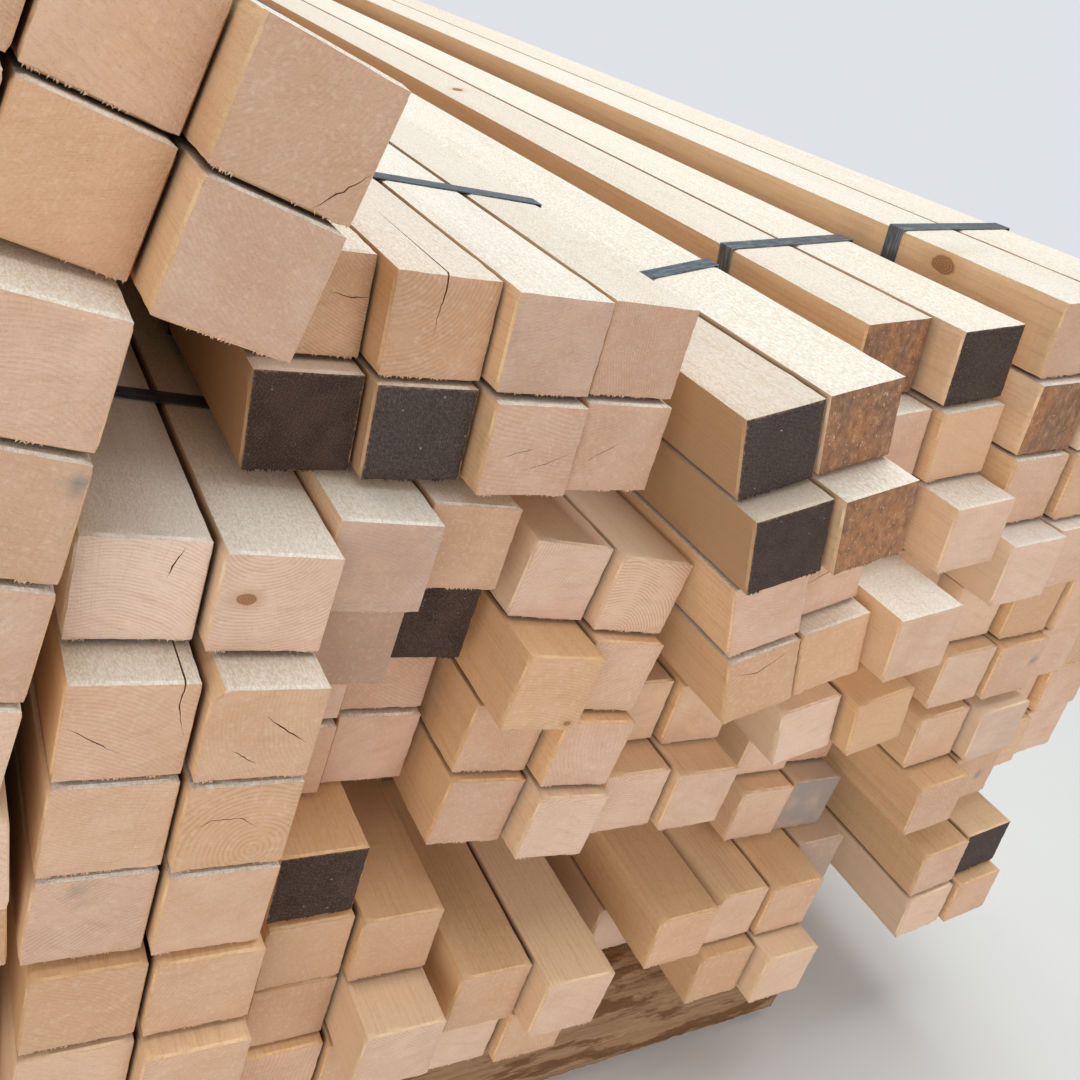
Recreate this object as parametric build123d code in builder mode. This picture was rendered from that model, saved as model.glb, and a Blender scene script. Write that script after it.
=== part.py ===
from build123d import *
import math
import os

os.makedirs("parts", exist_ok=True)

# one sawn stud
stud_width = 50
stud_height = 48
stud_length = 3000

# how close things lie
stud_gap = 0.4
strap_gap = 0.1
rest_gap = 0.3

# flat steel strap round each bundle, near both ends and half way along
strap_width = 13
strap_thickness = 0.5
strap_from_end = 135
strap_step = 16

# rough cross timbers under the stack
bearer_width = 95
bearer_height = 100
bearer_from_end = 15
bearer_length = 930
bearer_left = -270
front_bearer_length = 775
bearer_wane = 22
bearer_side_wane = 12

# cross spacers between the lower and the upper bundles, a long one and a thin short one
spacer_width = 70
spacer_from_end = 150
long_spacer_height = 60
long_spacer_length = 186
long_spacer_clear = 8
short_spacer_height = 45
short_spacer_length = 130
short_spacer_left = 528

# left sides of the bundles that are not laid against a neighbour
far_left_lower_left = -197
loose_lower_left = 37
far_left_middle_left = -285
far_left_upper_left = -190
under_far_left = 375
top_flat_left = 2
top_left_left = -200

# clear distance between the faces of two bundles, with a strap between them
settle_steps = 6
face_gap = strap_gap + strap_thickness + rest_gap
column_step = stud_width + stud_gap
row_step = stud_height + stud_gap


def tilted_rectangle(wide, high, tilt):
    """Corners of a turned rectangle from its lower left corner, going round from there."""
    turn = math.radians(tilt)
    right = (math.cos(turn), -math.sin(turn))
    up = (math.sin(turn), math.cos(turn))
    return [(wide * a * right[0] + high * b * up[0], wide * a * right[1] + high * b * up[1])
            for a, b in ((0, 0), (1, 0), (1, 1), (0, 1))]


def moved(outline, dx, dz):
    return [(x + dx, z + dz) for x, z in outline]


def swapped(outline):
    return [(z, x) for x, z in outline]


def level_at(outline, x, pick):
    """The lowest or highest level of an outline above the point x, or None outside of it."""
    levels = []
    for (x0, z0), (x1, z1) in zip(outline, outline[1:] + outline[:1]):
        if min(x0, x1) <= x <= max(x0, x1) and x0 != x1:
            levels.append(z0 + (z1 - z0) * (x - x0) / (x1 - x0))
    return pick(levels) if levels else None


def fall(outline, others):
    """How far an outline can go down before it meets one of the others."""
    found = []
    for other in others:
        for x, z in outline:
            level = level_at(other, x, max)
            if level is not None:
                found.append(z - level)
        for x, z in other:
            level = level_at(outline, x, min)
            if level is not None:
                found.append(level - z)
    return min(found)


def rest_on(outline, others):
    """The outline set down on the others from high above them."""
    high = max(z for other in others for x, z in other) - min(z for x, z in outline) + stud_length
    raised = moved(outline, 0, high)
    return moved(raised, 0, face_gap - fall(raised, others))


def push_left(outline, others, clear):
    """The outline slid to the left until it is as near to the others as asked."""
    return moved(outline, clear - fall(swapped(outline), [swapped(other) for other in others]), 0)


bundles = {}
spacers = {}
placed = {}


def side_by_side(outline, wall):
    """Whether the outline would meet the wall on its way to the left."""
    low, high = min(z for x, z in outline), max(z for x, z in outline)
    return min(z for x, z in wall) < high and max(z for x, z in wall) > low


def add_bundle(name, columns, rows, tilt, below, ends, strap=None, left=None, beside=None, clear=0):
    """Sets a bundle on what lies below it, at a given place or close to the bundles beside it."""
    outline = tilted_rectangle(columns * column_step - stud_gap, rows * row_step - stud_gap, tilt)
    supports = [placed[key] for key in below]
    if beside is None:
        outline = rest_on(moved(outline, left, 0), supports)
    else:
        walls = [placed[key] for key in beside]
        start = max(x for wall in walls for x, z in wall) - min(x for x, z in outline)
        outline = rest_on(moved(outline, start + clear + face_gap, 0), supports)
        for step in range(settle_steps):
            facing = [wall for wall in walls if side_by_side(outline, wall)]
            if facing:
                outline = rest_on(push_left(outline, facing, clear + face_gap), supports)
    placed[name] = outline
    bundles[name] = dict(columns=columns, rows=rows, tilt=tilt, ends=ends, strap=strap)


def add_spacer(name, length, height, tilt, below, left):
    """Sets a cross spacer on what lies below it."""
    outline = moved(tilted_rectangle(length, height, tilt), left, 0)
    placed[name] = rest_on(outline, [placed[key] for key in below])
    spacers[name] = dict(length=length, height=height, tilt=tilt)


# the tops of the bearers are at level 0, and x runs to the right along them
bearer_right = bearer_left + bearer_length
placed["bearers"] = [(bearer_left, -bearer_height), (bearer_right, -bearer_height),
                     (bearer_right, 0), (bearer_left, 0)]

# lower bundles; the ends are the set-backs of the studs' ends, row by row from the bottom
add_bundle("far_left_lower", 2, 4, -1, ["bearers"], left=far_left_lower_left, strap=1,
           ends=[[0, -14], [-8, -22], [-16, -5], [-10, -28]])
add_bundle("left_lower", 2, 4, 3.5, ["bearers"], beside=["far_left_lower"], clear=6, strap=2,
           ends=[[-25, -36], [-40, -20], [-30, -42], [-28, -31]])
add_bundle("middle_lower", 2, 3, 2.5, ["bearers"], beside=["left_lower"], clear=19, strap=1,
           ends=[[6, 2], [12, -30], [12, 6]])
add_bundle("loose_lower", 1, 1, 2.5, ["middle_lower"], left=loose_lower_left, ends=[[15]])
add_bundle("inner_lower", 2, 2, 3.5, ["bearers"], beside=["middle_lower"], clear=12, strap=3,
           ends=[[-4, -10], [-12, -29]])
add_bundle("wide_lower", 4, 2, -0.5, ["bearers"], beside=["inner_lower"], clear=51, strap=2,
           ends=[[50, -9, -23, 40], [-4, 2, -2, 30]])
add_bundle("right_lower", 2, 2, -10, ["bearers"], beside=["wide_lower"], clear=57, strap=3,
           ends=[[-8, -12], [-5, -2]])

# spacers across the low bundles
long_spacer_left = max(x for x, z in placed["middle_lower"]) + long_spacer_clear
add_spacer("long_spacer", long_spacer_length, long_spacer_height, 2, ["inner_lower", "wide_lower"],
           long_spacer_left)
add_spacer("short_spacer", short_spacer_length, short_spacer_height, -10, ["right_lower"],
           short_spacer_left)

# upper bundles
add_bundle("far_left_middle", 4, 2, -1.5, ["far_left_lower", "left_lower"],
           left=far_left_middle_left, strap=3, ends=[[-20, -10, -32, -16], [-28, -35, -22, -30]])
add_bundle("far_left_upper", 2, 4, 10.5, ["far_left_middle"], left=far_left_upper_left, strap=4,
           ends=[[-29, -27], [-27, -25], [-26, -24], [-25, -22]])
add_bundle("left_upper", 2, 4, 4.5, ["left_lower"], beside=["far_left_middle", "far_left_upper"],
           clear=2, strap=0, ends=[[-22, -27], [-21, -26], [-20, -25], [4, -4]])
add_bundle("middle_upper", 2, 4, 4, ["loose_lower"], beside=["left_upper"], strap=2,
           ends=[[55, 62], [58, 65], [25, 45], [14, 35]])
add_bundle("inner_upper", 2, 4, 7.5, ["long_spacer", "middle_lower"], beside=["middle_upper"],
           clear=6, strap=4, ends=[[26, 10], [31, 17], [8, 25], [40, 32]])
add_bundle("under_left", 2, 2, 1.5, ["long_spacer"], beside=["inner_upper"], strap=1,
           ends=[[24, 17], [50, 44]])
add_bundle("under_right", 2, 2, 2, ["wide_lower"], beside=["under_left", "long_spacer"], clear=52,
           strap=0, ends=[[44, 46], [60, 66]])
add_bundle("right_middle", 4, 2, -9, ["right_lower", "short_spacer", "wide_lower"],
           beside=["under_right"], clear=4, strap=1, ends=[[-10, 4, 20, 25], [11, 0, 30, 22]])
add_bundle("under_far", 2, 2, -14, ["under_right", "right_middle"], left=under_far_left, strap=5,
           ends=[[23, 9], [50, 44]])
add_bundle("far_right_middle", 4, 2, -6.5, ["right_middle", "under_right"], beside=["under_far"],
           clear=20, strap=0, ends=[[11, 7, 15, 20], [22, 14, 10, 20]])
add_bundle("top_flat", 4, 2, -0.5, ["left_upper", "middle_upper", "inner_upper"],
           left=top_flat_left, strap=5, ends=[[52, 44, 30, 35], [64, 46, 34, 38]])
add_bundle("leaning", 2, 4, -17, ["under_left", "under_right", "under_far"],
           beside=["top_flat", "inner_upper"], strap=3, ends=[[-6, -5], [-3, 8], [-11, -17], [6, 7]])
add_bundle("right_upper", 2, 4, -11, ["under_far"], beside=["leaning"], clear=1, strap=4,
           ends=[[-22, 36], [36, 5], [42, 34], [62, 39]])
add_bundle("far_right_upper", 2, 4, -8.5, ["far_right_middle"], beside=["right_upper"], clear=2,
           strap=2, ends=[[-3, 3], [18, 13], [21, 17], [26, 31]])
add_bundle("top_left", 4, 2, 15.5, ["far_left_upper", "top_flat"], left=top_left_left, strap=1,
           ends=[[0, 5, 7, -18], [8, 10, 12, -16]])

# the part stands on level 0, with its middle over the origin
every_x = [x for outline in placed.values() for x, z in outline]
every_end = [end for bundle in bundles.values() for row in bundle["ends"] for end in row]
shift_x = -(min(every_x) + max(every_x)) / 2
shift_y = -(min(every_end) + max(every_end) + stud_length) / 2


def seat(name, tilt, across, along, above):
    """Place in a bundle or spacer, measured from its lower left corner and turned with it."""
    corner_x, corner_z = placed[name][0]
    turn = math.radians(tilt)
    x = corner_x + across * math.cos(turn) + above * math.sin(turn) + shift_x
    z = corner_z - across * math.sin(turn) + above * math.cos(turn) + bearer_height
    return Location((x, along + shift_y, z), (0, tilt, 0))


for name, bundle in bundles.items():
    with BuildPart() as studs:
        for row, row_ends in enumerate(bundle["ends"]):
            for column, end in enumerate(row_ends):
                middle = column * column_step + stud_width / 2
                level = row * row_step + stud_height / 2
                with Locations(seat(name, bundle["tilt"], middle, end + stud_length / 2, level)):
                    Box(stud_width, stud_length, stud_height)
    studs.part.label = name + "_studs"
    export_step(studs.part, "parts/" + name + "_studs.step")

strapped = {name: bundle for name, bundle in bundles.items() if bundle["strap"] is not None}
for name, bundle in strapped.items():
    wide = bundle["columns"] * column_step - stud_gap
    high = bundle["rows"] * row_step - stud_gap
    first = strap_from_end + bundle["strap"] * strap_step
    last = first + stud_length - 2 * strap_from_end
    with BuildPart() as straps:
        for along in (first, (first + last) / 2, last):
            with Locations(seat(name, bundle["tilt"], wide / 2, along, high / 2)):
                Box(wide + 2 * (strap_gap + strap_thickness), strap_width,
                    high + 2 * (strap_gap + strap_thickness))
                Box(wide + 2 * strap_gap, strap_width, high + 2 * strap_gap, mode=Mode.SUBTRACT)
    straps.part.label = name + "_straps"
    export_step(straps.part, "parts/" + name + "_straps.step")

with BuildPart() as bearers:
    for along, length in ((bearer_from_end, front_bearer_length), (stud_length / 2, bearer_length),
                          (stud_length - bearer_from_end - bearer_width, bearer_length)):
        with BuildSketch(Plane.YZ.offset(bearer_left + shift_x)):
            with Locations((along + shift_y, 0)):
                Polygon((bearer_side_wane, 0), (bearer_width, 0), (bearer_width, bearer_height),
                        (bearer_wane, bearer_height), (0, bearer_height - bearer_wane),
                        (0, bearer_side_wane), align=None)
        extrude(amount=length)
bearers.part.label = "bearers"
export_step(bearers.part, "parts/bearers.step")

with BuildPart() as cross_spacers:
    for name, spacer in spacers.items():
        for along in (spacer_from_end, stud_length / 2, stud_length - spacer_from_end - spacer_width):
            with Locations(seat(name, spacer["tilt"], 0, along, 0)):
                Box(spacer["length"], spacer_width, spacer["height"],
                    align=(Align.MIN, Align.MIN, Align.MIN))
cross_spacers.part.label = "spacers"
export_step(cross_spacers.part, "parts/spacers.step")
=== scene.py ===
import math
import random

import bpy
import numpy as np
from mathutils import Matrix, Vector


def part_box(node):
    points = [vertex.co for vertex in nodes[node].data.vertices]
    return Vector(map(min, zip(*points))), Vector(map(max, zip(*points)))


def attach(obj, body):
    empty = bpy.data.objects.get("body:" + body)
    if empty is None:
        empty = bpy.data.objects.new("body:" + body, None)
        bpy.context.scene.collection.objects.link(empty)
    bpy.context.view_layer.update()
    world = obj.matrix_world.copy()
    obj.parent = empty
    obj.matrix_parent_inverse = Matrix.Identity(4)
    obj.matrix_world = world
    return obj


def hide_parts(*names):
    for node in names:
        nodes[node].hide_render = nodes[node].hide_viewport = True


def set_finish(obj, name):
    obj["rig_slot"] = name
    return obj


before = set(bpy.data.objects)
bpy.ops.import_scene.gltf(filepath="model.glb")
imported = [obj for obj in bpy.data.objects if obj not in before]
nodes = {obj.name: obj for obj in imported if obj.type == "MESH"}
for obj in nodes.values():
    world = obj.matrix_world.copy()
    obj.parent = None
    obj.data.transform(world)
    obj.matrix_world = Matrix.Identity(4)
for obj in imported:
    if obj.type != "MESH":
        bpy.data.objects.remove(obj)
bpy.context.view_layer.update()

mm = 0.001

# the camera stands close to the sawn ends, to the left, and looks down along the stack
camera_place = Vector((-324.4, -1851.7, 701.4)) * mm
camera_look = Vector((0.5142, 0.7303, -0.4497))
camera_up = Vector((0.0137, 0.5173, 0.8557))
camera_lens = 34.88

# how the blank of a sawn stud is divided: cells across its end, steps in mm from both ends, and
# parts of the rest
end_cells = 13
cut_steps = [2.5, 3.5, 5, 7, 10, 14, 20, 30, 60]
middle_parts = 4
arris_cut = 0.9 * mm
arris_wear = 0.8 * mm
arris_band = 1.6 * mm
blank_count = 5
stud_gap = 0.4 * mm

# uneven wear of the arrises: the size of its bumps in mm, and its share of the deepest wear
wear_layers = [(5.0, 1.0), (1.6, 0.7), (22.0, 0.9)]
face_wear = 0.08

# a stud's true width and height as shares of the full ones, its turn in degrees, and the slack that
# it leaves to the strap
width_shares = (0.968, 0.987)
height_shares = (0.974, 0.989)
askew_by = 0.35
slack_left = 0.5 * mm

# the long faces get painted shade that deepens this far into the gap between two studs, and lie this near
# to the stud's side
gap_shade = 8 * mm
face_inset = 0.25 * mm

# how upright a face is that counts as an upper face
upper_face = 0.72

# torn fibres that hang in tufts from the lower edge of a sawn end, with their sizes in mm
fringe_count = 4
fibres_in_fringe = 30
tufts_in_fringe = 7
tuft_spread = 2.2
fibre_lengths = (0.9, 2.0)
fibre_radii = (0.3, 0.55)
fibre_setbacks = (0.9, 1.7)
fibre_root = 1.1
fringe_margin = 1.5
fringe_front = 0.3

# jagged splits: steps between two points of their path, their sideways jag in mm and how thin they end
split_steps = 5
split_jag = 0.35
split_tip = 0.12

# rough timber: the size of its bumps in mm, and their share of its relief
rough_layers = [(45.0, 1.0), (9.0, 0.6), (3.0, 0.3)]
timber_cut = 12 * mm

# ends that differ from plain sawn wood: bundle, column, row
tarred_ends = {("top_flat", 0, 0), ("top_flat", 1, 0), ("middle_upper", 1, 2), ("leaning", 0, 3),
               ("leaning", 0, 2), ("right_upper", 1, 3), ("loose_lower", 0, 0), ("right_lower", 1, 1)}
bark_brown_ends = {("leaning", 1, 3), ("leaning", 1, 2), ("right_upper", 0, 3),
                   ("far_right_upper", 0, 2)}
grey_ends = {("under_right", 1, 0): 0.85, ("right_middle", 1, 1): 0.25, ("left_upper", 0, 0): 0.12,
             ("wide_lower", 3, 0): 0.55, ("wide_lower", 3, 1): 0.55, ("middle_upper", 0, 3): 0.3,
             ("middle_upper", 0, 2): 0.25, ("top_flat", 2, 1): 0.25}

# the wood of an end: from very pale at -1 to dark at 1, and its warmth from pinkish to golden
end_tints = {("top_left", 3, 1): (0.30, 0.35), ("top_left", 3, 0): (0.22, 0.0),
             ("top_left", 2, 1): (-0.10, 0.5), ("top_left", 2, 0): (-0.05, 1.0),
             ("top_flat", 0, 1): (0.10, 0.8), ("top_flat", 1, 1): (0.35, 0.75),
             ("top_flat", 2, 1): (0.05, 0.0), ("top_flat", 3, 1): (0.35, 0.1),
             ("top_flat", 2, 0): (0.25, 0.0), ("top_flat", 3, 0): (0.30, 0.1),
             ("left_upper", 0, 3): (-0.85, 0.1), ("left_upper", 1, 3): (-0.35, 0.1),
             ("left_upper", 0, 2): (0.0, 0.4), ("left_upper", 1, 2): (0.10, 0.6),
             ("left_upper", 0, 1): (-0.10, 0.6), ("left_upper", 1, 1): (0.10, 0.9),
             ("left_upper", 0, 0): (-0.10, 0.4), ("left_upper", 1, 0): (0.0, 0.4),
             ("middle_upper", 0, 3): (0.0, 0.0), ("middle_upper", 1, 3): (0.25, 0.6),
             ("middle_upper", 0, 2): (0.60, 0.2), ("right_upper", 0, 2): (0.05, 0.0),
             ("inner_upper", 0, 3): (-0.35, 0.1), ("inner_upper", 1, 3): (-0.35, 0.8),
             ("inner_upper", 0, 2): (0.0, 0.9), ("inner_upper", 1, 2): (-0.10, 0.3),
             ("leaning", 0, 1): (0.0, 0.0), ("leaning", 1, 1): (0.0, 0.1),
             ("far_left_upper", 1, 3): (-0.15, 0.3), ("far_left_upper", 1, 2): (0.25, 0.5),
             # top_flat 0,0 and 1,0 here and leaning 0,3 and 0,2 below have tarred ends, so their dark tone
             # darkens only their long faces: painted shade
             ("top_flat", 0, 0): (1.0, 1.0), ("top_flat", 1, 0): (0.9, 0.1),
             ("middle_upper", 1, 2): (0.5, 1.0), ("loose_lower", 0, 0): (0.0, 1.0),
             ("leaning", 0, 3): (1.0, 0.2), ("leaning", 0, 2): (1.0, 0.6)}

# bundles whose studs lie with their woolly sawn face up, with the paler top finish on their upper faces:
# partly the woolly wood, partly painted light from above; the others show a smoother, warmer face, partly
# painted shade of the more sheltered bundles
woolly_and_lit_bundles = {"top_left", "top_flat", "far_left_upper", "left_upper", "middle_upper", "leaning",
                  "right_upper", "far_right_upper"}

# a bark edge on the upper left arris: how far it cuts the corner off at the near end, and its length,
# both in mm
wanes = {("left_upper", 1, 2): (7.0, 150), ("wide_lower", 1, 1): (9.0, 600),
         ("middle_upper", 0, 1): (5.0, 90), ("far_left_middle", 3, 1): (8.0, 400)}

# small round stains on sawn ends: place across and up as shares, radius in mm and strength
end_spots = {("far_left_upper", 1, 2): [(0.93, 0.84, 3.2, 1.0)],
             ("right_middle", 1, 0): [(0.62, 0.50, 3.2, 1.0)],
             ("far_right_middle", 1, 0): [(0.80, 0.62, 3.2, 0.9)],
             ("left_upper", 0, 0): [(0.34, 0.88, 3.0, 0.6), (0.42, 0.70, 2.6, 0.4)],
             ("leaning", 1, 1): [(0.30, 0.62, 3.0, 0.4), (0.70, 0.72, 3.0, 0.4)]}

# a knot in a stud's left side: its distance from the near end in mm, and its height as a share
side_knots = {("far_right_upper", 0, 3): (95, 0.80), ("leaning", 0, 3): (420, 0.3)}

# a round knot that shows on a sawn end: place across and up the end as shares, and its radius in mm
end_knots = {("left_upper", 1, 3): (0.24, 0.56, 4.2), ("inner_upper", 0, 2): (0.82, 0.12, 2.4)}

# where the heart of the tree lay, in mm from the middle of the end, and how strongly its rings show
hearts = {("left_upper", 0, 3): (-12, -55, 0.55), ("left_upper", 1, 3): (-10, 34, 0.7),
          ("left_upper", 0, 2): (-30, -70, 0.45), ("left_upper", 1, 2): (60, 20, 0.35),
          ("left_upper", 0, 1): (30, 120, 0.35), ("left_upper", 1, 1): (8, -14, 0.8),
          ("left_upper", 0, 0): (60, -90, 0.7), ("left_upper", 1, 0): (-80, 70, 0.3),
          ("top_flat", 0, 1): (30, 30, 0.8), ("top_flat", 1, 1): (-34, 36, 0.75),
          ("top_flat", 2, 1): (-60, 110, 0.35), ("top_flat", 3, 1): (95, 15, 0.8),
          ("top_flat", 2, 0): (20, 140, 0.5), ("top_flat", 3, 0): (-60, 110, 0.4),
          ("inner_upper", 1, 3): (-12, -26, 1.0), ("inner_upper", 0, 3): (-70, 30, 0.6),
          ("top_left", 3, 1): (-90, 60, 0.3), ("top_left", 3, 0): (70, 90, 0.25)}

# other studs by chance: the heart's distance in mm, how strongly rings show, how much the stud leans
# in the tree, how far its rings lie apart, and how its saw marks turn
heart_distances = (25, 110)
ring_strengths = (0.1, 0.55)
tree_lean = 0.012
ring_spacings = (0.7, 1.35)
saw_turn = 0.5

# the tone of an end by chance, and of its knot how far along it lies in metres and its reach in mm
chance_tones = (-0.45, 0.30)
knot_distances = (0.15, 2.6)
knot_reach = [7, 10, 30]
side_knot_reach = [30, 12, 7]

# splits in sawn ends, as shares across and up the end, with the width in mm and the depth in mm
end_splits = {
    ("top_flat", 1, 1): [((0.47, 1.02), (0.46, 0.82), (0.44, 0.62), (0.43, 0.42), 1.1, 90)],
    ("top_flat", 0, 1): [((0.62, 0.62), (0.82, 0.58), (1.02, 0.60), 0.5, 25)],
    ("top_flat", 2, 0): [((0.14, 0.42), (0.35, 0.50), (0.55, 0.56), 0.35, 12),
                         ((0.42, 0.30), (0.66, 0.38), (0.92, 0.52), 0.35, 12)],
    ("top_flat", 3, 0): [((0.12, 0.34), (0.30, 0.46), (0.50, 0.58), 0.4, 14)],
    ("left_upper", 0, 3): [((0.78, 0.93), (0.72, 0.78), (0.68, 0.64), 0.7, 20)],
    ("left_upper", 0, 2): [((0.86, 1.02), (0.84, 0.80), (0.87, 0.62), (0.93, 0.47), 0.8, 120),
                           ((0.05, 0.58), (0.25, 0.45), (0.46, 0.30), 0.5, 18)],
    ("left_upper", 1, 2): [((0.48, 0.72), (0.66, 0.57), (0.90, 0.40), 0.7, 22),
                           ((0.26, 0.36), (0.38, 0.28), (0.50, 0.20), 0.5, 15)],
    ("left_upper", 1, 1): [((0.06, 0.50), (0.25, 0.62), (0.50, 0.62), (0.66, 0.48), 0.45, 14)],
    ("leaning", 0, 0): [((0.05, 0.80), (0.40, 0.72), (0.85, 0.90), 0.6, 15)],
    ("leaning", 1, 1): [((0.10, 0.50), (0.45, 0.60), (0.80, 0.66), 0.7, 18)],
    ("top_left", 3, 1): [((0.70, 0.03), (0.84, 0.22), (0.97, 0.40), 0.6, 20)],
}


def deselect():
    """Leaves every object unselected, with none active in edit mode."""
    bpy.ops.object.select_all(action="DESELECT")


def make_active(thing):
    """Selects one object and makes it the active one."""
    deselect()
    thing.select_set(True)
    bpy.context.view_layer.objects.active = thing


def own_copy(thing):
    """A copy with a mesh of its own."""
    copy = thing.copy()
    copy.data = thing.data.copy()
    bpy.context.collection.objects.link(copy)
    return copy


def joined(things):
    """Several objects made into one, which keeps the first one's place."""
    deselect()
    for thing in things:
        thing.select_set(True)
    bpy.context.view_layer.objects.active = things[0]
    if len(things) > 1:
        bpy.ops.object.join()
    return things[0]


def apply_modifiers(thing):
    make_active(thing)
    for modifier in list(thing.modifiers):
        bpy.ops.object.modifier_apply(modifier=modifier.name)


class Wire:
    """A socket of a finish's nodes, which takes part in Python expressions."""

    def __init__(self, finish, socket):
        self.finish = finish
        self.socket = socket

    def maths(self, operation, *values):
        return self.finish.node("Math", {"operation": operation}, *values)

    def __add__(self, other):
        return self.maths("ADD", self, other)

    __radd__ = __add__

    def __sub__(self, other):
        return self.maths("SUBTRACT", self, other)

    def __rsub__(self, other):
        return self.maths("SUBTRACT", other, self)

    def __mul__(self, other):
        return self.maths("MULTIPLY", self, other)

    __rmul__ = __mul__

    def __truediv__(self, other):
        return self.maths("DIVIDE", self, other)

    def root(self):
        return self.maths("SQRT", self)

    def part(self):
        return self.maths("FRACT", self)

    def wave(self):
        return self.maths("SINE", self)

    def size(self):
        return self.maths("ABSOLUTE", self)

    def angle(self, other):
        return self.maths("ARCTAN2", self, other)

    def most(self, other):
        return self.maths("MAXIMUM", self, other)

    def ramp(self, low, high, start=0.0, end=1.0):
        """A smooth step from start, at low, to end, at high."""
        return self.finish.node("MapRange", {"interpolation_type": "SMOOTHSTEP"}, self, low, high,
                                start, end)


class Finish:
    """A material, with one method that adds any node."""

    def __init__(self, name):
        self.material = bpy.data.materials.new(name)
        self.material.use_nodes = True
        self.tree = self.material.node_tree
        self.shader = self.tree.nodes["Principled BSDF"]

    def node(self, kind, settings=None, *values, **named):
        """Adds a node, gives it its settings and then its sockets' values, and hands back an output."""
        made = self.tree.nodes.new("ShaderNode" + kind)
        stops = None
        output = 0
        for key, value in (settings or {}).items():
            if key == "stops":
                stops = value
            elif key == "output":
                output = value
            else:
                setattr(made, key, value)
        for index, value in list(enumerate(values)) + list(named.items()):
            self.feed(made.inputs[index], value)
        if stops:
            self.set_stops(made.color_ramp, stops)
        return Wire(self, made.outputs[output])

    def set_stops(self, ramp, stops):
        while len(ramp.elements) < len(stops):
            ramp.elements.new(1.0)
        for element, (place, colour) in zip(ramp.elements, stops):
            element.position = place
            element.color = (*colour, 1.0)

    def feed(self, socket, value):
        if isinstance(value, Wire):
            self.tree.links.new(value.socket, socket)
        elif isinstance(value, (tuple, list)) and len(value) == 3 and len(socket.default_value) == 4:
            socket.default_value = (*value, 1.0)
        else:
            socket.default_value = value

    def parts(self, vector):
        """The three numbers of a vector."""
        outputs = self.node("SeparateXYZ", None, vector).socket.node.outputs
        return [Wire(self, output) for output in outputs]

    def joined(self, first, second, third):
        return self.node("CombineXYZ", None, first, second, third)

    def blend(self, share, first, second):
        """The first colour, and more of the second as the share rises to 1."""
        made = self.tree.nodes.new("ShaderNodeMix")
        made.data_type = "RGBA"
        self.feed(made.inputs["Factor"], share)
        self.feed(made.inputs[6], first)
        self.feed(made.inputs[7], second)
        return Wire(self, made.outputs[2])

    def noise(self, place, scale, detail=2.0, rough=0.5):
        return self.node("TexNoise", None, Vector=place, Scale=scale, Detail=detail,
                         Roughness=rough)

    def stretched(self, place, scales):
        return self.node("VectorMath", {"operation": "MULTIPLY"}, place, scales)

    def given(self, name, output="Vector"):
        """An attribute that the piece's mesh carries."""
        return self.node("Attribute", {"attribute_name": name, "output": output})

    def wear(self, colour, roughness, height, depth):
        """Feeds the shader: its colour, its roughness, and a relief of a depth in metres."""
        self.feed(self.shader.inputs["Base Color"], colour)
        self.feed(self.shader.inputs["Roughness"], roughness)
        bump = self.node("Bump", None, Strength=1.0, Distance=depth, Height=height)
        self.feed(self.shader.inputs["Normal"], bump)
        self.shader.inputs["Specular IOR Level"].default_value = 0.18
        return self.material


def toned(finish, colour, tone, pale, dark):
    """The colour made paler where the tone is below zero, and darker where it is above."""
    colour = finish.blend((0.0 - tone).most(0.0), colour, pale)
    return finish.blend(tone.most(0.0), colour, dark)


def ring_field(finish, place, pitch):
    """How far into a ring's dark late wood each point lies, and its place across and up the tree."""
    across, along, up = finish.parts(place)
    sway = finish.noise(finish.stretched(place, (18.0, 1.1, 18.0)), 1.0, 2.0)
    radius = (across * across + up * up).root() + sway * (12 * mm)
    swing = finish.noise(finish.stretched(place, (60.0, 2.0, 60.0)), 1.0, 1.0)
    inside = (radius / pitch + swing * 0.7).part()
    late = inside.ramp(0.35, 0.93) * (1.0 - inside.ramp(0.94, 1.0))
    return late, across, up


def with_knot(finish, colour, halo_colour, ring_count):
    """The colour with the stud's own knot in it: dark rings, and a stained halo round them."""
    knot = finish.given("knot_place")
    length = finish.node("VectorMath", {"operation": "LENGTH", "output": "Value"}, knot)
    nearness = length + finish.noise(knot, 1.3, 2.0) * 0.3
    rings = (nearness * ring_count).part()
    knot_dark, knot_light = (0.28, 0.13, 0.06), (0.44, 0.23, 0.11)
    heart = finish.blend(rings.ramp(0.2, 0.9), knot_dark, knot_light)
    colour = finish.blend((1.0 - nearness.ramp(1.0, 2.3)) * 0.4, colour, halo_colour)
    return finish.blend(1.0 - nearness.ramp(0.85, 1.08), colour, heart)


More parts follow.
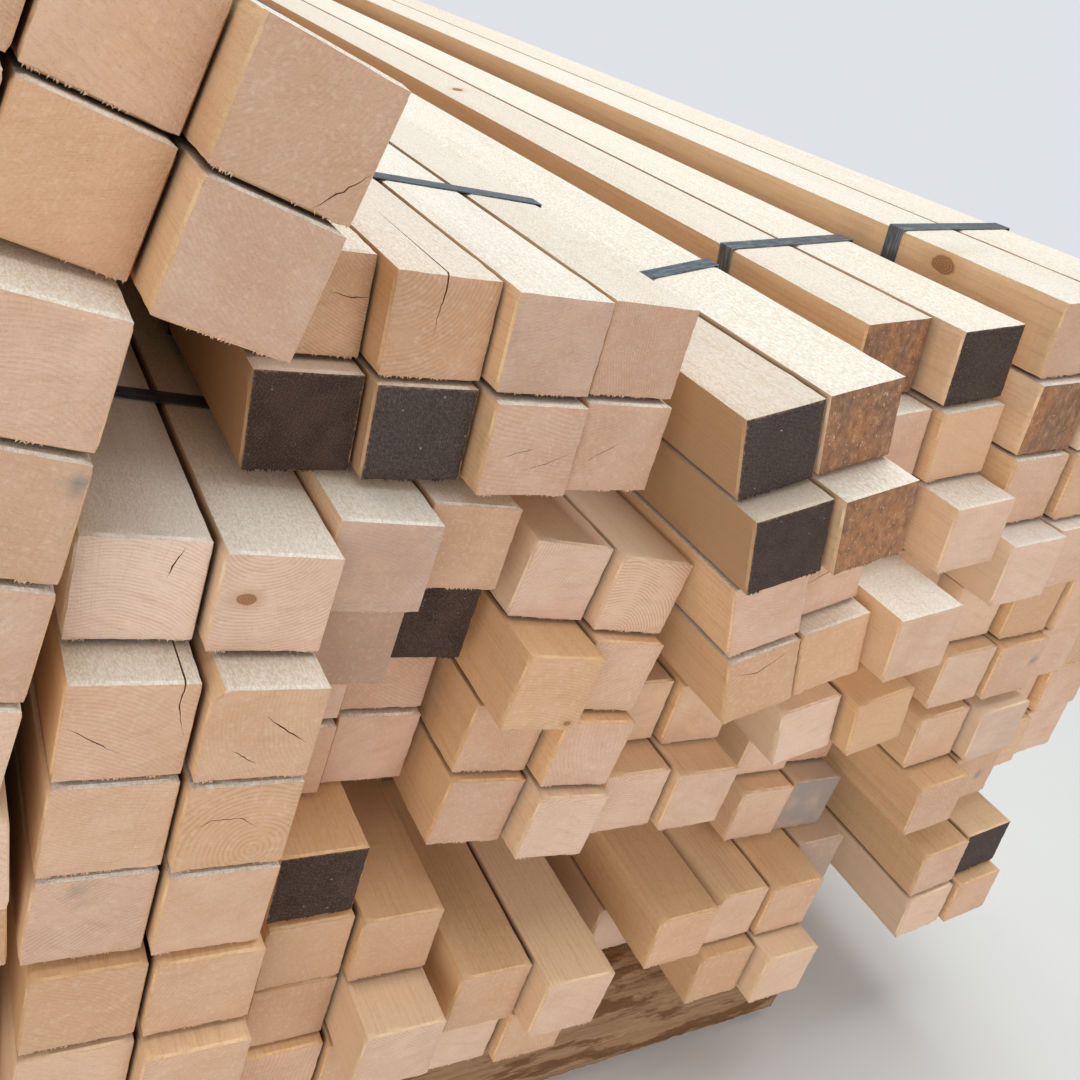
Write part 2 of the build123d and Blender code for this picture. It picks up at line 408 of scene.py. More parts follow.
def sawn_face_finish(name, pale, deep, wool_colour, grain_colour, woolly):
    """A long sawn face, with long grain, woolly fibres as strong as asked, and a few knots."""
    finish = Finish(name)
    place = finish.given("wood_place")
    tone, warmth, grey = finish.parts(finish.given("stud_kind"))
    late = ring_field(finish, place, 2.6 * mm)[0]
    wool = finish.noise(finish.stretched(place, (1100.0, 380.0, 1100.0)), 1.0, 3.0, 0.7)
    specks = finish.noise(finish.stretched(place, (870.0, 430.0, 940.0)), 1.0, 1.0)
    streaks = finish.noise(finish.stretched(place, (130.0, 3.0, 130.0)), 1.0, 3.0, 0.6)
    strands = finish.noise(finish.stretched(place, (560.0, 26.0, 560.0)), 1.0, 3.0, 0.65)
    clouds = finish.noise(finish.stretched(place, (14.0, 1.6, 14.0)), 1.0, 3.0, 0.55)
    gap_shade_share = finish.parts(finish.given("gap_depth"))[0]
    saw = finish.noise(finish.stretched(place, (4.0, 260.0, 4.0)), 1.0, 2.0)
    pits = specks.ramp(0.58, 0.70)
    # the last of these three colours is the painted shade in the gaps between studs
    pit_brown, weather_grey, painted_gap_shade = (0.40, 0.30, 0.21), (0.50, 0.46, 0.40), (0.16, 0.085, 0.045)
    palest, darkest = (0.92, 0.86, 0.78), (0.42, 0.26, 0.14)
    colour = finish.blend(clouds.ramp(0.3, 0.7), pale, deep)
    colour = finish.blend(late * streaks.ramp(0.3, 0.75) * 0.40, colour, grain_colour)
    colour = finish.blend(streaks.ramp(0.54, 0.74) * 0.25, colour, grain_colour)
    colour = finish.blend(strands.ramp(0.50, 0.68) * 0.35, colour, grain_colour)
    colour = finish.blend(wool.ramp(0.42, 0.60) * (0.75 * woolly), colour, wool_colour)
    colour = finish.blend(pits * (0.22 * woolly), colour, pit_brown)
    colour = finish.blend(saw.ramp(0.55, 0.75) * 0.10, colour, grain_colour)
    colour = finish.blend(warmth * 0.25, colour, grain_colour)
    colour = with_knot(finish, colour, grain_colour, 5.0)
    colour = finish.blend(grey * clouds.ramp(0.35, 0.6), colour, weather_grey)
    colour = toned(finish, colour, tone * (0.95 - 0.6 * woolly), palest, darkest)
    # painted shade: the long faces turn dark brown inside the gaps between studs
    colour = finish.blend(gap_shade_share * 0.8, colour, painted_gap_shade)
    return finish.wear(colour, 0.85, wool * woolly + saw * 0.2, 0.6 * mm)


def sawn_end_finish():
    """The sawn ends: pinkish tan with growth rings, rays, saw scratches and stains."""
    finish = Finish("sawn_end")
    place = finish.given("wood_place")
    tone, warmth, grey = finish.parts(finish.given("stud_kind"))
    end_place = finish.given("end_place")
    strength = finish.parts(end_place)[2]
    late, across, up = ring_field(finish, place, 1.9 * mm)
    angle = across.angle(up)
    rays = finish.noise(finish.joined(angle * 90.0, late * 0.3, up * 20.0), 1.0, 2.0, 0.6)
    pores = finish.noise(place, 1500.0, 2.0, 0.6)
    grain = finish.noise(place, 420.0, 3.0, 0.6)
    clouds = finish.noise(place, 34.0, 3.0, 0.55)
    patches = finish.noise(place, 75.0, 2.0, 0.5)
    scratches = finish.noise(finish.stretched(end_place, (95.0, 1700.0, 0.0)), 1.0, 2.0, 0.6)
    bands = finish.noise(finish.stretched(end_place, (22.0, 190.0, 0.0)), 1.0, 3.0, 0.6)
    pinkish, tan, golden = (0.70, 0.475, 0.35), (0.62, 0.395, 0.275), (0.66, 0.40, 0.22)
    palest, darkest = (0.86, 0.68, 0.56), (0.42, 0.26, 0.17)
    band_brown, ring_brown, ray_brown = (0.52, 0.31, 0.19), (0.42, 0.21, 0.10), (0.45, 0.25, 0.14)
    pale_grain, pore_brown, scratch_brown = (0.82, 0.64, 0.50), (0.38, 0.22, 0.13), (0.42, 0.25, 0.15)
    halo_brown, stain_grey = (0.46, 0.24, 0.12), (0.26, 0.235, 0.22)
    rings = late * strength * patches.ramp(0.25, 0.6)
    colour = finish.blend(clouds.ramp(0.32, 0.68), pinkish, tan)
    colour = finish.blend(warmth * 0.75, colour, golden)
    colour = toned(finish, colour, tone, palest, darkest)
    colour = finish.blend(bands.ramp(0.50, 0.72) * 0.30, colour, band_brown)
    colour = finish.blend(rings * 0.55, colour, ring_brown)
    colour = finish.blend(rays.ramp(0.56, 0.74) * 0.22, colour, ray_brown)
    colour = finish.blend(grain.ramp(0.48, 0.74) * 0.25, colour, pale_grain)
    colour = finish.blend(pores.ramp(0.58, 0.76) * 0.35, colour, pore_brown)
    colour = finish.blend(scratches.ramp(0.55, 0.8) * 0.25, colour, scratch_brown)
    colour = with_knot(finish, colour, halo_brown, 4.0)
    colour = finish.blend(grey * patches.ramp(0.22, 0.60, 0.6, 1.0), colour, stain_grey)
    return finish.wear(colour, 0.80, pores * 0.9 + scratches + bands * 0.5, 0.45 * mm)


def tarred_end_finish():
    """Ends brushed with a dark sealer that is thin at the edges: brownish and fuzzy, or bluish."""
    finish = Finish("tarred_end")
    place = finish.given("wood_place")
    warmth = finish.parts(finish.given("stud_kind"))[1]
    cold = 1.0 - warmth
    end_place = finish.given("end_place")
    across, up = finish.parts(end_place)[:2]
    late = ring_field(finish, place, 2.1 * mm)[0]
    grit = finish.noise(place, 1100.0, 3.0, 0.75)
    clouds = finish.noise(place, 60.0, 3.0, 0.55)
    dots = finish.noise(place, 420.0, 1.0, 0.5)
    sway = finish.noise(place, 90.0, 2.0, 0.5)
    ripple = ((across + sway * (4 * mm)) * 5200.0).wave()
    thick, thin, bluish = (0.042, 0.023, 0.016), (0.066, 0.038, 0.028), (0.058, 0.045, 0.040)
    ring_grey, ridge_grey, fuzz = (0.13, 0.10, 0.085), (0.12, 0.10, 0.095), (0.160, 0.115, 0.090)
    pit_black, bare_dot, bare_edge = (0.020, 0.014, 0.012), (0.45, 0.36, 0.28), (0.34, 0.20, 0.12)
    colour = finish.blend(clouds.ramp(0.3, 0.7), thick, thin)
    colour = finish.blend(cold, colour, bluish)
    colour = finish.blend(late * 0.14, colour, ring_grey)
    ridge = ripple.most(0.0) * cold * clouds.ramp(0.4, 0.6)
    colour = finish.blend(ridge * 0.35, colour, ridge_grey)
    colour = finish.blend(grit.ramp(0.50, 0.66) * 0.55, colour, fuzz)
    colour = finish.blend((1.0 - grit.ramp(0.36, 0.46)) * 0.5, colour, pit_black)
    colour = finish.blend(dots.ramp(0.77, 0.81) * 0.8, colour, bare_dot)
    ragged = finish.noise(place, 420.0, 3.0, 0.7) * (4.5 * mm)
    edge = (across.size() + ragged).most(up + 1.2 * mm + ragged).most(ragged - up - 0.6 * mm)
    colour = finish.blend(edge.ramp(25.4 * mm, 27 * mm) * 0.8, colour, bare_edge)
    scratches = finish.noise(finish.stretched(end_place, (130.0, 1500.0, 0.0)), 1.0, 2.0, 0.6)
    return finish.wear(colour, 0.78, grit * 1.1 + scratches * 0.5, 0.5 * mm)


def brown_end_finish():
    """Ends torn rough by a blunt saw and weathered brown, with pale and dark flecks."""
    finish = Finish("torn_brown_end")
    place = finish.given("wood_place")
    tall = finish.stretched(place, (1.0, 1.0, 0.6))
    lumps = finish.noise(tall, 300.0, 4.0, 0.7)
    flecks = finish.noise(tall, 800.0, 2.0, 0.65)
    clouds = finish.noise(tall, 60.0, 3.0, 0.6)
    russet, umber, hollow = (0.36, 0.175, 0.085), (0.26, 0.145, 0.09), (0.15, 0.085, 0.058)
    orange, pale_fleck = (0.50, 0.28, 0.15), (0.74, 0.55, 0.40)
    colour = finish.blend(clouds.ramp(0.35, 0.65), russet, umber)
    colour = finish.blend(lumps.ramp(0.48, 0.64) * 0.6, colour, hollow)
    colour = finish.blend((1.0 - lumps.ramp(0.36, 0.47)) * 0.5, colour, orange)
    colour = finish.blend(flecks.ramp(0.64, 0.72) * 0.7, colour, pale_fleck)
    return finish.wear(colour, 0.86, flecks * 0.6 - lumps * 1.3, 1.1 * mm)


def split_finish():
    """The torn insides of a split: orange-brown and dark brown fibre streaks."""
    finish = Finish("split_wood")
    place = finish.given("wood_place")
    fibres = finish.noise(finish.stretched(place, (700.0, 60.0, 700.0)), 1.0, 2.0)
    # both browns are darker than the wood around the split: partly the torn wood, partly painted shade of
    # the narrow crack
    colour = finish.blend(fibres.ramp(0.35, 0.7), (0.40, 0.20, 0.08), (0.20, 0.09, 0.04))
    return finish.wear(colour, 0.85, fibres, 0.3 * mm)


def fibre_finish():
    """Torn fibres at the edges of the ends."""
    finish = Finish("torn_fibres")
    place = finish.given("wood_place")
    strands = finish.noise(place, 900.0, 2.0)
    colour = finish.blend(strands.ramp(0.35, 0.65), (0.76, 0.54, 0.38), (0.60, 0.38, 0.24))
    return finish.wear(colour, 0.85, strands, 0.1 * mm)


def strap_finish():
    """Flat steel strap, blued, with worn bright edges and dust; the worn bright parts are pale bluish,
    partly wear and partly a painted sheen.
    """
    finish = Finish("strap_steel")
    place = finish.node("TexCoord", {"output": 3})
    dust = finish.noise(place, 160.0, 3.0, 0.6)
    rub_and_sheen = finish.noise(finish.stretched(place, (60.0, 900.0, 60.0)), 1.0, 2.0, 0.6)
    colour = finish.blend(dust.ramp(0.45, 0.75) * 0.5, (0.10, 0.125, 0.15), (0.24, 0.23, 0.21))
    # pale bluish streaks: partly worn bright steel, partly a painted reflection
    colour = finish.blend(rub_and_sheen.ramp(0.50, 0.70) * 0.5, colour, (0.40, 0.47, 0.55))
    finish.feed(finish.shader.inputs["Metallic"], 0.6)
    return finish.wear(colour, dust.ramp(0.3, 0.8, 0.26, 0.5), rub_and_sheen, 0.05 * mm)


def timber_finish(name, pale, dark, bark):
    """Rough cross timber, with long splits and shreds of bark."""
    finish = Finish(name)
    place = finish.node("TexCoord", {"output": 3})
    grain = finish.noise(finish.stretched(place, (5.0, 170.0, 170.0)), 1.0, 4.0, 0.6)
    shreds = finish.noise(finish.stretched(place, (16.0, 70.0, 70.0)), 1.0, 4.0, 0.65)
    grit = finish.noise(place, 700.0, 3.0, 0.7)
    colour = finish.blend(grain.ramp(0.35, 0.68), pale, dark)
    colour = finish.blend(shreds.ramp(0.50, 0.60), colour, bark)
    colour = finish.blend(grit.ramp(0.55, 0.8) * 0.3, colour, (0.60, 0.44, 0.28))
    return finish.wear(colour, 0.88, grain * 0.8 + shreds * 1.6 + grit * 0.3, 2.2 * mm)


def separate_solids(node):
    """The corner points of each separate solid of a CAD node."""
    mesh = nodes[node].data
    keys = [tuple(round(value, 5) for value in point.co) for point in mesh.vertices]
    leader = {key: key for key in keys}

    def head(key):
        while leader[key] != key:
            key = leader[key]
        return key

    for polygon in mesh.polygons:
        first, *others = [keys[i] for i in polygon.vertices]
        for other in others:
            leader[head(other)] = head(first)
    solids = {}
    for key in leader:
        solids.setdefault(head(key), []).append(Vector(key))
    return list(solids.values())


class Stud:
    """One stud as the frame has it: its lower left near corner, and its directions and sizes.

    beside says by steps across and up how much further back each other stud's near end lies.
    """

    def __init__(self, corners):
        near = min(point.y for point in corners)
        front = [point for point in corners if point.y < near + mm]
        self.corner = min(front, key=lambda point: point.x + point.z)
        right = max(front, key=lambda point: point.x - point.z) - self.corner
        up = min(front, key=lambda point: point.x - point.z) - self.corner
        self.width, self.height = right.length, up.length
        self.length = max(point.y for point in corners) - near
        self.right, self.up = right.normalized(), up.normalized()
        self.column = self.row = 0
        self.share_across = self.share_up = 0.5
        self.beside = {}

    def turn(self):
        return Matrix((self.right, Vector((0, 1, 0)), self.up)).transposed()

    def matrix(self, draw):
        """Takes the blank's own places to the stud's, thinner and askew, drawn to the bundle's outside."""
        middle = Vector((self.width / 2, 0, self.height / 2))
        thin, low = draw.uniform(*width_shares), draw.uniform(*height_shares)
        thinner = Matrix.Diagonal((thin, 1, low, 1))
        askew = Matrix.Rotation(math.radians(draw.uniform(-askew_by, askew_by)), 4, "Y")
        slack = Vector(((self.share_across - 0.5) * ((1 - thin) * self.width - slack_left), 0,
                        (self.share_up - 0.5) * ((1 - low) * self.height - slack_left)))
        own = Matrix.Translation(middle + slack) @ askew @ thinner @ Matrix.Translation(-middle)
        return Matrix.Translation(self.corner) @ self.turn().to_4x4() @ own


def bundle_studs(bundle):
    """The studs of a bundle, each with its column from the left and its row from the bottom."""
    studs = [Stud(corners) for corners in separate_solids(bundle + "_studs")]
    first = min(studs, key=lambda stud: stud.corner.x + stud.corner.z)
    for stud in studs:
        step = stud.corner - first.corner
        stud.column = round(step.dot(first.right) / (first.width + stud_gap))
        stud.row = round(step.dot(first.up) / (first.height + stud_gap))
    for stud in studs:
        stud.share_across = stud.column / max(1, max(other.column for other in studs))
        stud.share_up = stud.row / max(1, max(other.row for other in studs))
        for other in studs:
            step = (other.column - stud.column, other.row - stud.row)
            stud.beside[step] = other.corner.y - stud.corner.y
    return sorted(studs, key=lambda stud: (stud.row, stud.column))


def model_blank(number, width, height, length):
    """A sawn stud, modelled from a grid: its end is extruded along, and its arrises are worn."""
    deselect()
    bpy.ops.mesh.primitive_grid_add(x_subdivisions=end_cells, y_subdivisions=end_cells, size=1,
                                    rotation=(math.pi / 2, 0, 0),
                                    location=(width / 2, 0, height / 2))
    blank = bpy.context.object
    blank.name = "blank_" + str(number)
    blank.scale = (width, height, 1)
    bpy.ops.object.transform_apply(location=True, rotation=True, scale=True)
    bpy.ops.object.mode_set(mode="EDIT")
    bpy.ops.mesh.select_all(action="SELECT")
    for step in cut_steps:
        extrude_along(step * mm)
    middle = length - 2 * sum(cut_steps) * mm
    for part in range(middle_parts):
        extrude_along(middle / middle_parts)
    for step in reversed(cut_steps):
        extrude_along(step * mm)
    bpy.ops.mesh.select_all(action="SELECT")
    bpy.ops.mesh.normals_make_consistent(inside=False)
    bevel_arrises(blank, width, height, length)
    mark_ends(blank)
    wear_arrises(blank, number, width, height, length)
    return blank


def mark_ends(blank):
    """Tells the sawn ends, with the first half of their bevels, from the long faces."""
    for finish in finishes:
        blank.data.materials.append(finish)
    for polygon in blank.data.polygons:
        polygon.material_index = END if abs(polygon.normal.y) > 0.7 else SIDE


def model_fringe(number, width):
    """Torn fibres that hang from the lower edge of a stud's near end."""
    draw = random.Random(number)
    deselect()
    made = []
    tufts = [draw.uniform(0.05, 0.95) * width for tuft in range(tufts_in_fringe)]
    for fibre in range(fibres_in_fringe):
        long = draw.uniform(*fibre_lengths) * mm
        bpy.ops.mesh.primitive_cone_add(vertices=4, radius1=draw.uniform(*fibre_radii) * mm,
                                        radius2=0, depth=long)
        thin = bpy.context.object
        thin.rotation_euler = (math.pi + draw.uniform(-0.3, 0.3), draw.uniform(-0.7, 0.7), 0)
        place = draw.choice(tufts) + draw.gauss(0, tuft_spread) * mm
        place = min(max(place, fringe_margin * mm), width - fringe_margin * mm)
        thin.location = (place, draw.uniform(*fibre_setbacks) * mm, fibre_root * mm - long * 0.40)
        made.append(thin)
        bpy.ops.object.transform_apply(location=True, rotation=True, scale=True)
    fringe = joined(made)
    for point in fringe.data.vertices:
        point.co.y = max(point.co.y, fringe_front * mm)
    for finish in finishes:
        fringe.data.materials.append(finish)
    for polygon in fringe.data.polygons:
        polygon.material_index = FIBRE
    return fringe


def extrude_along(step):
    """Pushes the chosen faces on along the stud."""
    bpy.ops.mesh.extrude_region_move(TRANSFORM_OT_translate={"value": (0, step, 0)})


def at_edge(value, size, band=0.01 * mm):
    """Whether a value lies within a band of 0 or of the full size."""
    return value < band or value > size - band


def bevel_arrises(blank, width, height, length):
    """Bevels the four long arrises and the outlines of both ends."""
    bpy.ops.mesh.select_mode(type="EDGE")
    bpy.ops.mesh.select_all(action="DESELECT")
    bpy.ops.object.mode_set(mode="OBJECT")
    for edge in blank.data.edges:
        sides = [0, 0, 0]
        for number in edge.vertices:
            x, y, z = blank.data.vertices[number].co
            sides[0] += at_edge(x, width)
            sides[1] += at_edge(y, length)
            sides[2] += at_edge(z, height)
        edge.select = sum(side == 2 for side in sides) >= 2
    bpy.ops.object.mode_set(mode="EDIT")
    bpy.ops.mesh.bevel(offset=arris_cut, segments=2, profile=0.5)
    bpy.ops.object.mode_set(mode="OBJECT")


def wear_arrises(blank, number, width, height, length):
    """Wears the arrises unevenly, always inwards."""
    group = blank.vertex_groups.new(name="arris")
    for point in blank.data.vertices:
        x, y, z = point.co
        beside = [at_edge(x, width, arris_band), at_edge(y, length, arris_band),
                  at_edge(z, height, arris_band)]
        group.add([point.index], 1.0 if sum(beside) >= 2 else face_wear, "REPLACE")
    for size, strength in wear_layers:
        texture = bpy.data.textures.new("wear" + str(number), type="CLOUDS")
        texture.noise_scale = size * mm
        modifier = blank.modifiers.new("wear", "DISPLACE")
        modifier.texture = texture
        modifier.texture_coords = "LOCAL"
        modifier.strength = strength * arris_wear
        modifier.mid_level = 1.0
        modifier.vertex_group = group.name
    apply_modifiers(blank)


def split_blade(stud, path, width, depth):
    """A jagged thin blade along a path on the stud's end, to be cut out of it."""
    points = [Vector((across * stud.width, 0, up * stud.height)) for across, up in path]
    line = []
    for start, end in zip(points, points[1:]):
        line += [start.lerp(end, part / split_steps) for part in range(split_steps)]
    line.append(points[-1])
    deselect()
    bpy.ops.mesh.primitive_grid_add(x_subdivisions=1, y_subdivisions=len(line) - 1, size=1)
    blade = bpy.context.object
    half = width * mm / 2
    places = sorted(blade.data.vertices, key=lambda point: (round(point.co.y, 6), point.co.x))
    for number, (left, right) in enumerate(zip(places[::2], places[1::2])):
        ahead = (line[min(number + 1, len(line) - 1)] - line[max(number - 1, 0)]).normalized()
        side = Vector((ahead.z, 0, -ahead.x))
        part = number / (len(line) - 1)
        opening = 1 - part if path[0][1] > 1 else math.sin(math.pi * part)
        open_share = max(split_tip, opening)
        middle = line[number] + side * random.uniform(-split_jag, split_jag) * mm
        left.co = middle - side * half * open_share * random.uniform(0.6, 1.2)
        right.co = middle + side * half * open_share * random.uniform(0.6, 1.2)
        for place in (left, right):
            place.co.y = -mm
    bpy.ops.object.mode_set(mode="EDIT")
    bpy.ops.mesh.select_all(action="SELECT")
    extrude_along(depth * mm)
    bpy.ops.object.mode_set(mode="OBJECT")
    for point in blade.data.vertices:
        if point.co.y > 0:
            flat = Vector((point.co.x, 0, point.co.z))
            closest = min(line, key=lambda place: (place - flat).length)
            point.co = point.co.lerp(Vector((closest.x, point.co.y, closest.z)), 0.8)
    bpy.ops.object.mode_set(mode="EDIT")
    bpy.ops.mesh.select_all(action="SELECT")
    bpy.ops.mesh.normals_make_consistent(inside=False)
    bpy.ops.object.mode_set(mode="OBJECT")
    return blade


def cut_splits(piece, stud, splits, dark):
    """Cuts the splits out of a stud that still lies at the blank's place."""
    for *path, width, depth in splits:
        blade = split_blade(stud, path, width, depth)
        blade.data.materials.clear()
        blade.data.materials.append(dark)
        cut = piece.modifiers.new("split", "BOOLEAN")
        cut.object = blade
        cut.solver = "EXACT"
        cut.material_mode = "TRANSFER"
        apply_modifiers(piece)
        bpy.data.objects.remove(blade)


def cut_wane(piece, stud, cut, reach):
    """Presses the upper left arris in to a slope, which runs out along the stud."""
    for point in piece.data.vertices:
        depth = cut * mm * (1 - point.co.y / (reach * mm))
        push = (depth - point.co.x - (stud.height - point.co.z)) / 2
        if push > 0:
            point.co += Vector((push, 0, -push))


def paint_faces(piece, stud, near_kind, upper_kind):
    """Tells upper faces from sides, so that upper faces can take the paler top finish, which is partly
    painted light from above, and gives the near end its own finish if it is tarred or brown.
    """
    for polygon in piece.data.polygons:
        if polygon.material_index == END and polygon.center.y < stud.length / 2:
            polygon.material_index = near_kind
        elif polygon.material_index == FIBRE and near_kind != END:
            polygon.material_index = near_kind
        elif polygon.material_index == SIDE and polygon.normal.z > upper_face:
            polygon.material_index = upper_kind


def write_vectors(mesh, name, values):
    attribute = mesh.attributes.new(name, "FLOAT_VECTOR", "POINT")
    attribute.data.foreach_set("vector", np.asarray(values, np.float32).ravel())


def mark_wood(piece, stud, key, draw):
    """Writes where each point lay in the tree, on its end and by its knot, and the stud's tone."""
    mesh = piece.data
    places = np.zeros(len(mesh.vertices) * 3, np.float32)
    mesh.vertices.foreach_get("co", places)
    places = places.reshape(-1, 3)
    turn = draw.uniform(0, 2 * math.pi)
    away = draw.uniform(*heart_distances)
    chance = (away * math.cos(turn), away * math.sin(turn), draw.uniform(*ring_strengths))
    heart_x, heart_z, strength = hearts.get(key, chance)
    middle = np.array([stud.width / 2, 0, stud.height / 2])
    heart = middle + np.array([heart_x * mm, 0, heart_z * mm])
    lean_across, lean_up = draw.uniform(-tree_lean, tree_lean), draw.uniform(-tree_lean, tree_lean)
    lean = np.outer(places[:, 1], (lean_across, 0, lean_up))
    along = np.array([0, draw.uniform(0, 40), 0])
    pitch = draw.uniform(*ring_spacings)
    write_vectors(mesh, "wood_place", (places - heart + lean) * pitch + along)
    end_turn = draw.uniform(-saw_turn, saw_turn)
    flat = places - middle
    across = flat[:, 0] * math.cos(end_turn) + flat[:, 2] * math.sin(end_turn)
    up = flat[:, 2] * math.cos(end_turn) - flat[:, 0] * math.sin(end_turn)
    if near_finish(key) == TARRED:
        across, up = flat[:, 0], flat[:, 2]
    write_vectors(mesh, "end_place", np.stack([across, up, np.full(len(up), strength)], 1))
    side = draw.choice((0.0, 1.0))
    knot = np.array([stud.width * draw.uniform(0.2, 0.8), draw.uniform(*knot_distances),
                     stud.height * side])
    reach = np.array(knot_reach) * draw.uniform(0.6, 1.2) * mm
    if key in side_knots:
        away, share = side_knots[key]
        knot = np.array([0, away * mm, stud.height * share])
        reach = np.array(side_knot_reach) * mm
    if key in end_knots:
        share_x, share_z, radius = end_knots[key]
        knot = np.array([stud.width * share_x, 0, stud.height * share_z])
        reach = np.array([radius * 1.25, 40, radius * 0.8]) * mm
    write_vectors(mesh, "knot_place", (places - knot) / reach)
    tone, warmth = end_tints.get(key, (draw.uniform(*chance_tones), draw.uniform(0, 1)))
    kinds = np.tile((tone, warmth, grey_ends.get(key, 0.0)), (len(places), 1))
    for share_x, share_z, radius, strength in end_spots.get(key, []):
        spot = np.array([stud.width * share_x, 0, stud.height * share_z])
        distance = np.linalg.norm(places - spot, axis=1) / (radius * mm)
        kinds[:, 2] = np.maximum(kinds[:, 2], strength * np.clip(1.6 - distance, 0, 1))
    write_vectors(mesh, "stud_kind", kinds)
    mark_gaps(mesh, places, stud)


def mark_gaps(mesh, places, stud):
    """Writes how deep each point of a long face lies in the gap to the stud beside it, for the painted
    shade in that gap.
    """
    faces = {(-1, 0): places[:, 0], (1, 0): stud.width - places[:, 0],
             (0, -1): places[:, 2], (0, 1): stud.height - places[:, 2]}
    gap_shade_share = np.zeros(len(places))
    for step, inset in faces.items():
        if step in stud.beside:
            depth = np.clip((places[:, 1] - stud.beside[step]) / gap_shade, 0, 1)
            gap_shade_share = np.maximum(gap_shade_share, depth * (inset < face_inset))
    write_vectors(mesh, "gap_depth", np.stack([gap_shade_share, gap_shade_share, gap_shade_share], 1))


def near_finish(key):
    if key in tarred_ends:
        return TARRED
    return BROWN if key in bark_brown_ends else END


def build_bundle(bundle, blanks, fringes):
    """One piece with all studs of a bundle, each with its own mesh, cut, worn and marked."""
    made = []
    for stud in bundle_studs(bundle):
        key = (bundle, stud.column, stud.row)
        draw = random.Random(bundle + str(stud.column) + str(stud.row))
        piece = own_copy(draw.choice(blanks))
        if draw.random() < 0.5:
            flip = Matrix.Translation((stud.width, 0, stud.height)) @ Matrix.Rotation(math.pi, 4, "Y")
            piece.data.transform(flip)
        random.seed(bundle + str(stud.column))
        if key in wanes:
            cut_wane(piece, stud, *wanes[key])
        cut_splits(piece, stud, end_splits.get(key, []), finishes[SPLIT])
        piece = joined([piece, own_copy(draw.choice(fringes))])
        paint_faces(piece, stud, near_finish(key), TOP if bundle in woolly_and_lit_bundles else SIDE)
        mark_wood(piece, stud, key, draw)
        piece.data.transform(stud.matrix(draw))
        made.append(piece)
    bundle_piece = joined(made)
    bundle_piece.name = bundle + "_sawn_studs"
    make_active(bundle_piece)
    bpy.ops.object.shade_smooth_by_angle(angle=math.radians(32))
    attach(bundle_piece, "root")
    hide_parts(bundle + "_studs")
    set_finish(bundle_piece, "pine")
    return bundle_piece


def rough_timber(node, finish, slot, relief):
    """A rough cross timber on its CAD node's form: cut across, subdivided and roughened inwards."""
    piece = own_copy(nodes[node])
    piece.parent = None
    for key in list(piece.keys()):
        del piece[key]
    piece.name = node + "_rough"
    make_active(piece)
    bpy.ops.object.mode_set(mode="EDIT")
    bpy.ops.mesh.select_all(action="SELECT")
    bpy.ops.mesh.remove_doubles(threshold=0.00001)
    bpy.ops.mesh.dissolve_limited(angle_limit=0.01)
    low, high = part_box(node)
    cuts = int((high.x - low.x) / timber_cut)
    for number in range(1, cuts):
        bpy.ops.mesh.select_all(action="SELECT")
        bpy.ops.mesh.bisect(plane_co=(low.x + number * timber_cut, 0, 0), plane_no=(1, 0, 0))
    bpy.ops.mesh.select_all(action="SELECT")
    bpy.ops.mesh.quads_convert_to_tris(quad_method="BEAUTY", ngon_method="BEAUTY")
    bpy.ops.mesh.subdivide(number_cuts=3)
    bpy.ops.object.mode_set(mode="OBJECT")
    for size, strength in rough_layers:
        texture = bpy.data.textures.new("rough", type="CLOUDS")
        texture.noise_scale = size * mm
        modifier = piece.modifiers.new("rough", "DISPLACE")
        modifier.texture = texture
        modifier.texture_coords = "LOCAL"
        modifier.strength = strength * relief
        modifier.mid_level = 1.0
    apply_modifiers(piece)
    bpy.ops.object.shade_smooth_by_angle(angle=math.radians(40))
    piece.data.materials.clear()
    piece.data.materials.append(finish)
    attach(piece, "root")
    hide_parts(node)
    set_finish(piece, slot)
    return piece


def dress_straps(finish):
    """The straps keep their CAD form and get the steel's finish."""
    for name, node in nodes.items():
        if name.endswith("_straps"):
            node.data.materials.clear()
            node.data.materials.append(finish)
            node["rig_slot"] = "strap"


def set_camera():
    """The camera at the photograph's place and viewing angle."""
    data = bpy.data.cameras.new("camera")
    camera = bpy.data.objects.new("camera", data)
    bpy.context.collection.objects.link(camera)
    back = -camera_look.normalized()
    right = camera_up.cross(back).normalized()
    up = back.cross(right)
    camera.matrix_world = Matrix.Translation(camera_place) @ Matrix((right, up, back)).transposed().to_4x4()
    data.lens = camera_lens
    data.clip_start = 10 * mm
    bpy.context.scene.camera = camera


def set_floor():
    """A pale floor that fades out further away."""
    deselect()
    bpy.ops.mesh.primitive_plane_add(size=60, location=(0, 0, 0))
    floor = bpy.context.object
    floor.name = "floor"
    finish = Finish("floor")
    place = finish.node("TexCoord", {"output": 3})
    clouds = finish.noise(place, 3.0, 3.0)
    away = finish.node("VectorMath", {"operation": "LENGTH", "output": "Value"}, place)
    finish.feed(finish.shader.inputs["Alpha"], away.ramp(2.0, 3.6, 1.0, 0.0))
    colour = finish.blend(clouds, (0.66, 0.65, 0.63), (0.70, 0.69, 0.67))
    floor.data.materials.append(finish.wear(colour, 0.9, clouds, 0.2 * mm))


def lamp(name, place, aim, size, power, colour):
    """A soft square lamp, with its size in metres and its power in watts."""
    data = bpy.data.lights.new(name, "AREA")
    data.size = size
    data.energy = power
    data.color = colour
    thing = bpy.data.objects.new(name, data)
    bpy.context.collection.objects.link(thing)
    thing.location = place
    thing.rotation_euler = (Vector(aim) - Vector(place)).to_track_quat("-Z", "Y").to_euler()


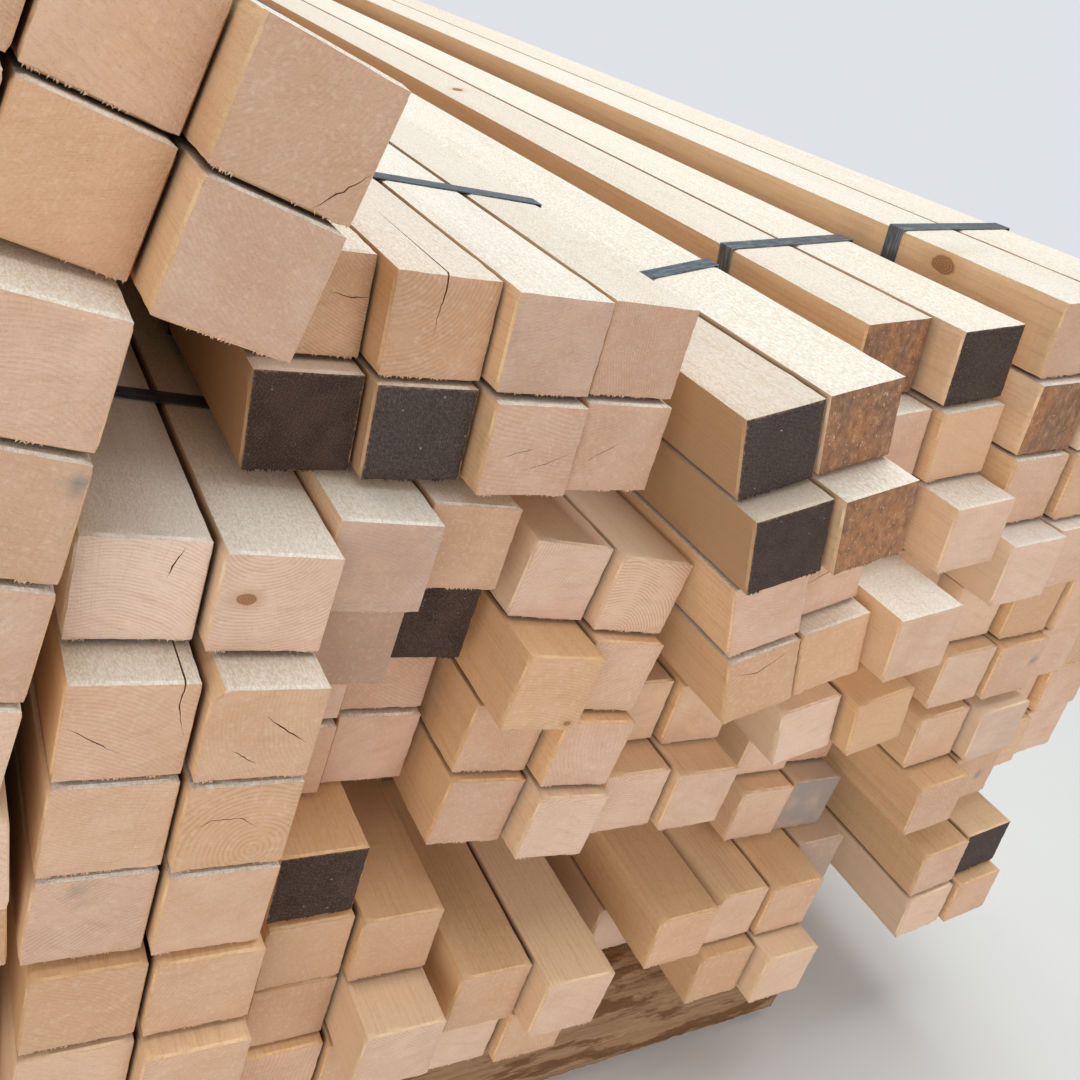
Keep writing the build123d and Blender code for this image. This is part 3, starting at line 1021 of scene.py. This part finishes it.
def set_light():
    """A pale surround, a broad lamp from above, and two weak ones from the left and the front."""
    world = bpy.data.worlds.new("surround")
    bpy.context.scene.world = world
    world.use_nodes = True
    tree = world.node_tree
    background = tree.nodes["Background"]
    background.inputs["Color"].default_value = (0.93, 0.95, 1.0, 1.0)
    path = tree.nodes.new("ShaderNodeLightPath")
    seen = tree.nodes.new("ShaderNodeMapRange")
    seen.inputs["To Min"].default_value = 0.375
    seen.inputs["To Max"].default_value = 0.80
    tree.links.new(path.outputs["Is Camera Ray"], seen.inputs["Value"])
    tree.links.new(seen.outputs["Result"], background.inputs["Strength"])
    lamp("sky_lamp", (0.5, -0.5, 3.6), (0.0, -0.6, 0.4), 3.0, 121, (0.91, 0.975, 1.0))
    lamp("left_lamp", (-2.2, -3.8, 1.2), (0.0, -1.3, 0.4), 2.0, 38, (1.0, 0.97, 0.93))
    lamp("front_lamp", (0.7, -3.6, 0.6), (0.2, -1.4, 0.25), 1.6, 19, (1.0, 0.98, 0.96))


scene = bpy.context.scene
scene.view_settings.view_transform = "Standard"

set_camera()
set_floor()
set_light()

TOP, SIDE, END, TARRED, BROWN, SPLIT, FIBRE = range(7)
# the top finish is a paler, whiter copy of the side finish: partly the woolly sawn face, partly painted
# light from above
finishes = [sawn_face_finish("sawn_top", (0.85, 0.765, 0.64), (0.78, 0.67, 0.53),
                             (0.97, 0.93, 0.87), (0.62, 0.46, 0.32), 1.0),
            sawn_face_finish("sawn_side", (0.87, 0.59, 0.345), (0.81, 0.51, 0.275),
                             (0.90, 0.71, 0.49), (0.60, 0.34, 0.155), 0.4),
            sawn_end_finish(), tarred_end_finish(), brown_end_finish(), split_finish(),
            fibre_finish()]
sample = Stud(separate_solids("top_flat_studs")[0])
blanks = [model_blank(number, sample.width, sample.height, sample.length)
          for number in range(blank_count)]
fringes = [model_fringe(number, sample.width) for number in range(fringe_count)]
for name in sorted(nodes):
    if name.endswith("_studs"):
        build_bundle(name.removesuffix("_studs"), blanks, fringes)
for pattern in blanks + fringes:
    bpy.data.objects.remove(pattern)

dress_straps(strap_finish())
rough_timber("bearers", timber_finish("bearer_timber", (0.36, 0.22, 0.12), (0.24, 0.13, 0.065),
                                      (0.16, 0.075, 0.03)), "bearer", 3.0 * mm)
rough_timber("spacers", timber_finish("spacer_timber", (0.42, 0.28, 0.17), (0.30, 0.18, 0.10),
                                      (0.22, 0.12, 0.06)), "spacer", 1.5 * mm)
